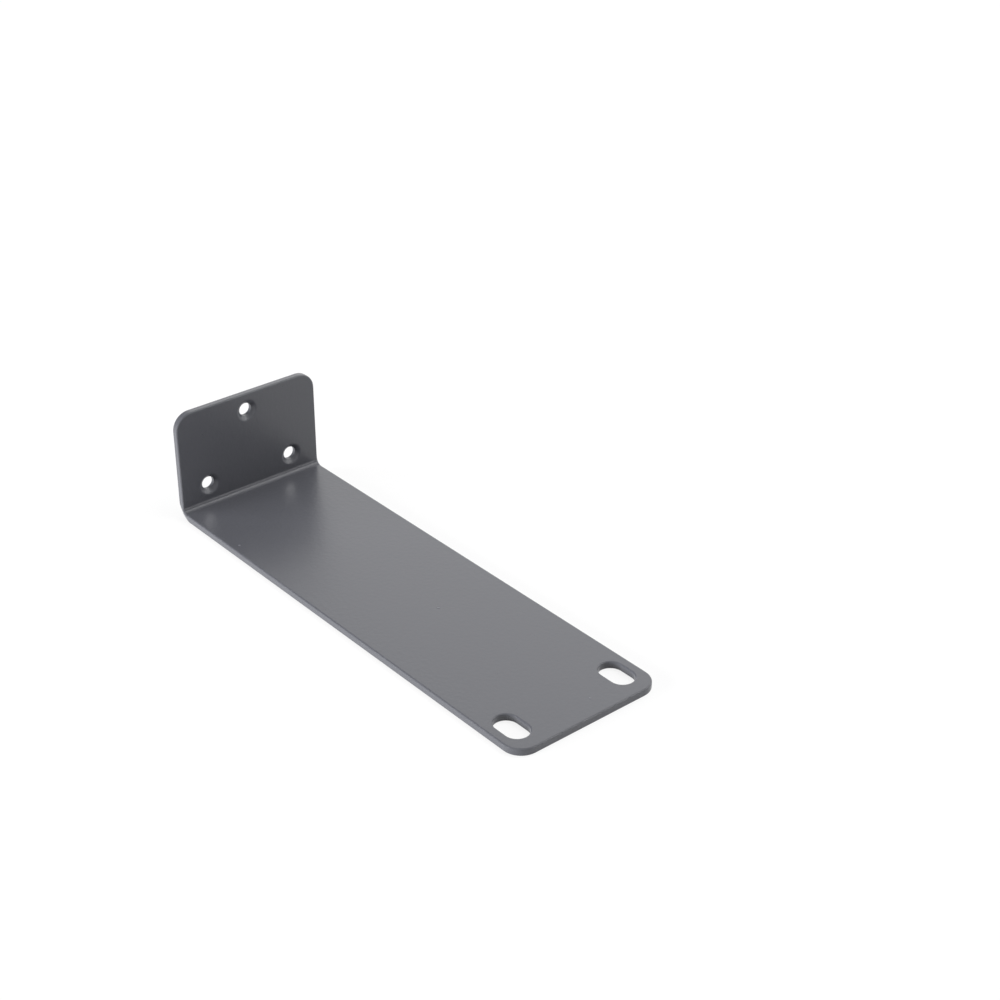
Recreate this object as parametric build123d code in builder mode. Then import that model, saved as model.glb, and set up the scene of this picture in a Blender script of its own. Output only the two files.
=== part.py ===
"""Rack mount ear: one folded steel sheet, the plate lying flat and the flange standing up at its -X end.

Millimetres. +X runs along the plate to its free end, +Y across the ear, +Z up along the flange.
The origin is under the middle of the ear, on the face that it lies on.
"""
from build123d import *
from math import cos, pi, radians, sin
import os

os.makedirs("parts", exist_ok=True)

# The folded sheet
ear_length = 137.0        # outer face of the flange to the free end of the plate
flange_height = 30.2      # underside of the plate to the top of the flange
sheet = 2.0               # thickness of the steel
bend_radius = 1.5         # inside of the fold
plate_corner = 5.0        # the two corners of the plate's free end
flange_corner = 4.8       # the two corners of the flange's top
edge_round = 0.4          # soft edge of the cut sheet under its coat

# The two slots that bolt the ear to the rack's rail
rail_pitch = 31.75        # first to last hole of one rack unit
slot_length = 9.75
slot_width = 6.15
slot_to_end = 8.9         # middle of a slot to the plate's free end
slot_to_side = 5.625      # middle of a slot to the ear's nearer side

# The three countersunk holes that screw the ear to the side of a case
screw_bore = 3.6
sink_diameter = 5.7
sink_angle = 100.0
sink_round = 0.8          # soft rim of a countersink
bore_bevel = 0.1          # broken edge at the other end of the hole
low_hole_spacing = 26.0   # across the ear, between the lower two
sink_to_fold = 0.45       # from the lower two countersinks to where the fold starts
high_hole_rise = 17.5     # from the lower two up to the one in the middle

# Bending squeezes the inside of the fold out past the sheet's cut sides and draws the outside in
squeezed_out = 0.25
drawn_in = 0.45
pinch_run = 1.0           # how far both go on past each end of the bend
loft_steps = 8            # along each of the fold's three stretches

# Sizes and places that follow from those above
ear_width = rail_pitch + 2 * slot_to_side
flange_out = -ear_length / 2
flange_in = flange_out + sheet
free_end = ear_length / 2
outer_bend = bend_radius + sheet
middle_bend = bend_radius + sheet / 2
bend_axis = Vector(flange_out + outer_bend, 0, outer_bend)
bend_run = radians(90) * middle_bend
fold_run = bend_run + 2 * pinch_run
plate_start = bend_axis.X + pinch_run
flange_start = bend_axis.Z + pinch_run
slot_middle = free_end - slot_to_end
low_hole_height = flange_start + sink_to_fold + sink_diameter / 2
high_hole_height = low_hole_height + high_hole_rise


def across_the_sheet(run):
    """The plane across the sheet at a run along its middle from the bend's start: local X across, Y outwards."""
    bent = min(max(run, 0), bend_run)
    turn = bent / middle_bend
    outwards = Vector(-sin(turn), 0, -cos(turn))
    along = Vector(-cos(turn), 0, sin(turn))
    middle = bend_axis + outwards * middle_bend + along * (run - bent)
    return Plane(origin=middle, x_dir=(0, 1, 0), z_dir=Vector(0, 1, 0).cross(outwards))


# The plate, from the end of the fold to its free end
with BuildPart() as plate:
    with BuildSketch(Plane.XY):
        with BuildLine():
            Polyline(
                (plate_start, -ear_width / 2),
                (free_end, -ear_width / 2),
                (free_end, ear_width / 2),
                (plate_start, ear_width / 2),
                close=True,
            )
        outline = make_face()
        fillet(outline.vertices().group_by(Axis.X)[-1], plate_corner)
        with Locations((slot_middle, 0)):
            with GridLocations(0, rail_pitch, 1, 2):
                SlotOverall(slot_length, slot_width, mode=Mode.SUBTRACT)
    extrude(amount=sheet)
    rims = plate.edges().filter_by(Axis.Z, reverse=True)
    fillet(rims - rims.filter_by(Axis.Y).group_by(Axis.X)[0], edge_round)

# The flange, from the other end of the fold to its top
with BuildPart() as flange:
    with BuildSketch(Plane.YZ.offset(flange_out)):
        with BuildLine():
            Polyline(
                (-ear_width / 2, flange_start),
                (ear_width / 2, flange_start),
                (ear_width / 2, flange_height),
                (-ear_width / 2, flange_height),
                close=True,
            )
        outline = make_face()
        fillet(outline.vertices().group_by(Axis.Y)[-1], flange_corner)
    extrude(amount=sheet)
    rims = flange.edges().filter_by(Axis.X, reverse=True)
    fillet(rims - rims.filter_by(Axis.Y).group_by(Axis.Z)[0], edge_round)
    with Locations(Plane.YZ.offset(flange_in)):
        with Locations(
            (-low_hole_spacing / 2, low_hole_height),
            (low_hole_spacing / 2, low_hole_height),
            (0, high_hole_height),
        ):
            CounterSinkHole(screw_bore / 2, sink_diameter / 2, depth=sheet, counter_sink_angle=sink_angle)
    hole_rims = flange.edges().filter_by(GeomType.CIRCLE).filter_by(lambda rim: rim.is_closed)
    chamfer(hole_rims.group_by(Axis.X)[0], bore_bevel)
    fillet(hole_rims.group_by(Axis.X)[-1], sink_round)

# The fold between them: the sheet's section, carried along and round, and pinched at its cut sides
with BuildPart() as fold:
    for start, stop in ((-pinch_run, 0), (0, bend_run), (bend_run, bend_run + pinch_run)):
        for step in range(loft_steps + 1):
            run = start + (stop - start) * step / loft_steps
            pinch = sin(pi / 2 * sin(pi * (run + pinch_run) / fold_run) ** 2)
            inside = ear_width / 2 + squeezed_out * pinch
            outside = ear_width / 2 - drawn_in * pinch
            with BuildSketch(across_the_sheet(run)):
                with BuildLine():
                    Polyline(
                        (-inside, -sheet / 2),
                        (inside, -sheet / 2),
                        (outside, sheet / 2),
                        (-outside, sheet / 2),
                        close=True,
                    )
                section = make_face()
                fillet(section.vertices(), edge_round)
        loft()

with BuildPart() as ear_bracket:
    add(plate.part)
    add(fold.part)
    add(flange.part)

ear_bracket.part.label = "ear_bracket"
export_step(ear_bracket.part, "parts/ear_bracket.step")
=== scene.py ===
from math import cos, pi, radians, sin, tan

import bpy
from mathutils import Matrix, Quaternion, Vector

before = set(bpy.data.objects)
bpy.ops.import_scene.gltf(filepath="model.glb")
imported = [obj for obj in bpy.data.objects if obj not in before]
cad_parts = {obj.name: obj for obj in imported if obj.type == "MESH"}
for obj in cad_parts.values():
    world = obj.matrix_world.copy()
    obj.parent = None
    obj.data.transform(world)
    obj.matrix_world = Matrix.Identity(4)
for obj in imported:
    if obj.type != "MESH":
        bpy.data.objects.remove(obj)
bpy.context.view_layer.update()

MM = 0.001

# The camera, worked out from the ear's own edges in the photograph
view_point = Vector((-21.3, 49.1, 0)) * MM     # where its line of sight meets the table
view_distance = 509 * MM
view_heading = 139.72                          # degrees from +X towards +Y
view_down = 29.81
view_roll = 0.23
film_width = 36.0                              # in millimetres, as the lens is
lens = 68.24
nearest_seen = 10 * MM
farthest_seen = 20.0

# The coat: charcoal powder, satin
coat_colour = (0.076, 0.078, 0.089)
coat_roughness = 0.31
coat_ior = 1.5
cloud_size = 18 * MM                           # slow change over the sheet
cloud_change = 0.05
peel_size = 1.1 * MM                           # waves that the powder melts into
peel_height = 0.030 * MM
grain_size = 0.3 * MM
grain_change = 0.12
nib_size = 0.8 * MM                            # specks of powder that melted into lumps
nib_height = 0.2 * MM
nib_paleness = 1.2
nib_places = (
    Vector((12.0, 1.5, 2.0)) * MM,
    Vector((-43.5, -19.3, 2.0)) * MM,
    Vector((63.0, 4.5, 2.0)) * MM,
)

# The table, the room, and the lamps and boards round the ear
table_size = 1.4
table_white = 0.93
table_gap = 0.02 * MM                          # under the ear, so that the two faces don't fight
table_lift = 0.85                              # how far the table shows as plain white
room_white = 1.0
lamp_distance = 1.5
board_distance = 1.6
felt_shade = 0.02


def direction(heading, height):
    """The unit vector at a heading from +X towards +Y and a height above the table, in degrees."""
    turn, rise = radians(heading), radians(height)
    return Vector((cos(rise) * cos(turn), cos(rise) * sin(turn), sin(rise)))


def across(angle, distance):
    """The width of what fills an angle, in degrees, at a distance."""
    return 2 * distance * tan(radians(angle / 2))


class Signal:
    """An output in a node tree. Arithmetic adds Math nodes, and node() adds any other node."""

    def __init__(self, tree, socket=None):
        self.tree = tree
        self.socket = socket

    def node(self, kind, settings=None, sockets=None, output=0):
        made = self.tree.nodes.new(kind)
        for name, value in (settings or {}).items():
            setattr(made, name, value)
        for name, value in (sockets or {}).items():
            if isinstance(value, Signal):
                self.tree.links.new(value.socket, made.inputs[name])
            else:
                made.inputs[name].default_value = value
        return Signal(self.tree, made.outputs[output] if made.outputs else None)

    def maths(self, operation, first, second):
        return self.node("ShaderNodeMath", {"operation": operation}, {0: first, 1: second})

    def __add__(self, other):
        return self.maths("ADD", self, other)

    def __sub__(self, other):
        return self.maths("SUBTRACT", self, other)

    def __rsub__(self, other):
        return self.maths("SUBTRACT", other, self)

    def __mul__(self, other):
        return self.maths("MULTIPLY", self, other)

    __radd__ = __add__
    __rmul__ = __mul__


def new_material(name):
    """A material with an empty node tree, and the signal that adds to it."""
    material = bpy.data.materials.new(name)
    material.use_nodes = True
    material.node_tree.nodes.clear()
    return material, Signal(material.node_tree)


def noise(place, size, detail):
    """Soft lumps about as large as size, with values on both sides of 0."""
    sockets = {"Vector": place, "Scale": 1 / size, "Detail": detail}
    return place.node("ShaderNodeTexNoise", sockets=sockets) - 0.5


def nibs(place):
    """1 in the middle of a nib, falling to 0 at its rim."""
    found = 0.0
    for nib_place in nib_places:
        ends = {0: place, 1: nib_place}
        gap = place.node("ShaderNodeVectorMath", {"operation": "DISTANCE"}, ends, "Value")
        found = place.maths("MAXIMUM", 1 - gap * (2 / nib_size), found)
    return found


def powder_coat():
    """Charcoal powder coat: satin, with the faint peel, grain and nibs of melted powder."""
    material, tree = new_material("charcoal_powder_coat")
    place = tree.node("ShaderNodeTexCoord", output="Object")
    cloud = noise(place, cloud_size, 2.0)
    peel = noise(place, peel_size, 1.0)
    grain = noise(place, grain_size, 2.0)
    lumps = nibs(place)
    change = cloud * cloud_change + grain * grain_change
    shade = change + lumps * nib_paleness + 1.0
    colour = tree.node(
        "ShaderNodeVectorMath",
        {"operation": "SCALE"},
        {0: coat_colour, "Scale": shade},
    )
    height = peel + lumps * (nib_height / peel_height)
    skin = tree.node(
        "ShaderNodeBump",
        sockets={"Strength": 1.0, "Distance": peel_height, "Height": height},
    )
    surface = tree.node(
        "ShaderNodeBsdfPrincipled",
        sockets={
            "Base Color": colour,
            "Roughness": change + coat_roughness,
            "IOR": coat_ior,
            "Normal": skin,
        },
    )
    tree.node("ShaderNodeOutputMaterial", sockets={"Surface": surface})
    return material


def shows_background(tree):
    """1 for the rays of the eye, of gloss and of glass, and 0 for those that carry other light."""
    eye = tree.node("ShaderNodeLightPath", output="Is Camera Ray")
    gloss = tree.node("ShaderNodeLightPath", output="Is Glossy Ray")
    glass = tree.node("ShaderNodeLightPath", output="Is Transmission Ray")
    return tree.maths("MAXIMUM", eye, tree.maths("MAXIMUM", gloss, glass))


def dull_material(name, shade):
    """A dull material of one grey, the signal that adds to it, and its surface."""
    material, tree = new_material(name)
    surface = tree.node("ShaderNodeBsdfDiffuse", sockets={"Color": (shade, shade, shade, 1)})
    return material, tree, surface


def white_table():
    """The table: a white board that keeps a faint shadow of the ear."""
    bpy.ops.mesh.primitive_plane_add(size=table_size, location=(0, 0, -table_gap))
    table = bpy.context.object
    table.name = "white_table"
    material, tree, board = dull_material("white_board", table_white)
    plain = tree.node("ShaderNodeEmission", sockets={"Strength": room_white})
    lift = shows_background(tree) * table_lift
    surface = tree.node("ShaderNodeMixShader", sockets={0: lift, 1: board, 2: plain})
    tree.node("ShaderNodeOutputMaterial", sockets={"Surface": surface})
    table.data.materials.append(material)


def room():
    """The room: plain white to the eye, in gloss and in glass. It sheds no light of its own."""
    world = bpy.data.worlds.new("white_room")
    world.use_nodes = True
    world.node_tree.nodes.clear()
    tree = Signal(world.node_tree)
    white = {"Color": (1, 1, 1, 1), "Strength": room_white}
    plain = tree.node("ShaderNodeBackground", sockets=white)
    surface = tree.node("ShaderNodeMixShader", sockets={0: shows_background(tree), 2: plain})
    tree.node("ShaderNodeOutputWorld", sockets={"Surface": surface})
    bpy.context.scene.world = world


def soft_box(name, heading, height, width, tall, glow, shows=True):
    """A lamp that faces the ear, width and tall in degrees as the ear sees them.

    Its glow is its brightness, where white paper in plain light is 1. It shows in the ear's
    gloss, or else it only fills.
    """
    light = bpy.data.lights.new(name, "AREA")
    light.shape = "RECTANGLE"
    light.size = across(width, lamp_distance)
    light.size_y = across(tall, lamp_distance)
    light.energy = glow * pi * light.size * light.size_y
    lamp = bpy.data.objects.new(name, light)
    lamp.location = direction(heading, height) * lamp_distance
    lamp.rotation_euler = (-lamp.location).to_track_quat("-Z", "Y").to_euler()
    lamp.visible_camera = False
    lamp.visible_glossy = shows
    bpy.context.collection.objects.link(lamp)


def dark_board(name, heading, height, width, tall):
    """A black board that faces the ear, out of the eye's sight.

    Its width and tall are in degrees, as the ear sees them.
    """
    bpy.ops.mesh.primitive_plane_add(size=1)
    board = bpy.context.object
    board.name = name
    place = direction(heading, height) * board_distance
    facing = place.to_track_quat("Z", "Y")
    spread = Vector((across(width, board_distance), across(tall, board_distance), 1))
    board.data.transform(Matrix.LocRotScale(place, facing, spread))
    material, tree, felt = dull_material("black_felt", felt_shade)
    tree.node("ShaderNodeOutputMaterial", sockets={"Surface": felt})
    board.data.materials.append(material)
    board.visible_camera = False


def camera():
    """The camera, at the photograph's place and angle."""
    data = bpy.data.cameras.new("bench_camera")
    data.lens = lens
    data.sensor_width = film_width
    data.clip_start = nearest_seen
    data.clip_end = farthest_seen
    eye = bpy.data.objects.new("bench_camera", data)
    sight = direction(view_heading, -view_down)
    eye.location = view_point - sight * view_distance
    turn = sight.to_track_quat("-Z", "Y") @ Quaternion((0, 0, 1), radians(view_roll))
    eye.rotation_euler = turn.to_euler()
    bpy.context.collection.objects.link(eye)
    bpy.context.scene.camera = eye


bpy.context.scene.view_settings.view_transform = "Standard"
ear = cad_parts["ear_bracket"]
ear.data.materials.clear()
ear.data.materials.append(powder_coat())

camera()
white_table()
room()
soft_box("back_screen", heading=135, height=30, width=84, tall=44, glow=0.9)
soft_box("front_box", heading=47, height=43, width=22, tall=20, glow=3.6)
soft_box("right_box", heading=68, height=24, width=40, tall=26, glow=1.8)
soft_box("right_strip", heading=30, height=3, width=36, tall=7, glow=4.8)
soft_box("top_fill", heading=72, height=66, width=50, tall=40, glow=3.7, shows=False)
soft_box("side_fill", heading=247, height=11, width=56, tall=20, glow=23.0, shows=False)
dark_board("left_board", heading=196, height=30, width=72, tall=64)
dark_board("right_board", heading=24, height=21, width=48, tall=22)
